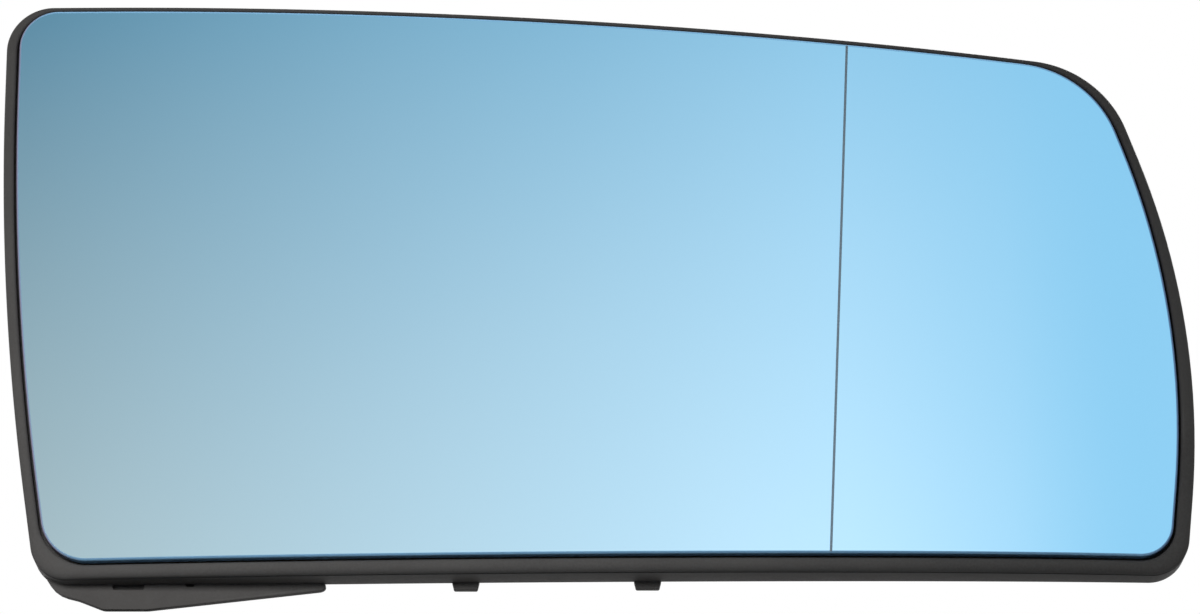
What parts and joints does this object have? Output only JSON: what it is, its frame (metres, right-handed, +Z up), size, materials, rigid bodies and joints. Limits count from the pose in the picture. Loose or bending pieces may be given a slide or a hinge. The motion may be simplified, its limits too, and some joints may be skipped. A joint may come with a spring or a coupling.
{
  "type": "car door mirror glass",
  "caption": "Convex blue door mirror glass with an aspheric outer zone and heater, in a black backing plate with a clip-on hub.",
  "frame": {"origin": "centre of the hub's mouth at the back of the backing plate, at the foot of its lead-in chamfer", "axes": "+Z up, +X outboard along the length of the mirror, +Y out of the hub's mouth towards the adjuster, so the glass faces -Y"},
  "size_m": [0.1921, 0.0144, 0.1008],
  "materials": {
    "mirror_glass": "blue tinted first-surface mirror, polished, with a ground edge",
    "heater_foil": "thin polyimide film with printed conductors",
    "backing_plate": "satin black moulding with a fine grain",
    "spring_steel": "drawn spring wire",
    "terminal_brass": "stamped and tinned strip",
    "rivet_metal": "set rivets"
  },
  "bodies": {
    "root": {"mirror_glass": "mirror_glass", "heater_foil": "heater_foil", "backing_plate": "backing_plate", "retaining_spring": "spring_steel", "terminal_upper": "terminal_brass", "terminal_lower": "terminal_brass", "terminal_rivets": "rivet_metal"}
  },
  "joints": []
}
